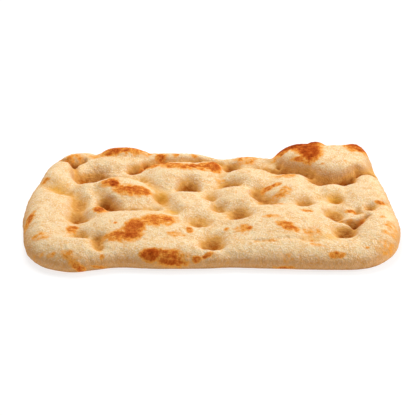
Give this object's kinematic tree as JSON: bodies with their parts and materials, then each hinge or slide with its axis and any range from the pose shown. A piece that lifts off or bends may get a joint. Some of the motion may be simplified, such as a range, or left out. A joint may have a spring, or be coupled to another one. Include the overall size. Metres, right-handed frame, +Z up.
{
  "type": "pinsa base",
  "caption": "Flat rectangular flatbread base with rounded corners, puffed rims, finger dimples and toasted blisters; rests on its flat underside.",
  "frame": {"origin": "centre of the bread's box, on the flat underside that rests on the table", "axes": "+X along the long side, to the right in the picture; +Y across the bread, away from the camera; +Z up"},
  "size_m": [0.3338, 0.2194, 0.0308],
  "materials": {
    "crust": "par-baked bread crust, matte and lightly floured, with golden to dark brown scorch marks"
  },
  "bodies": {
    "root": {"pinsa_base": "crust"}
  },
  "joints": []
}
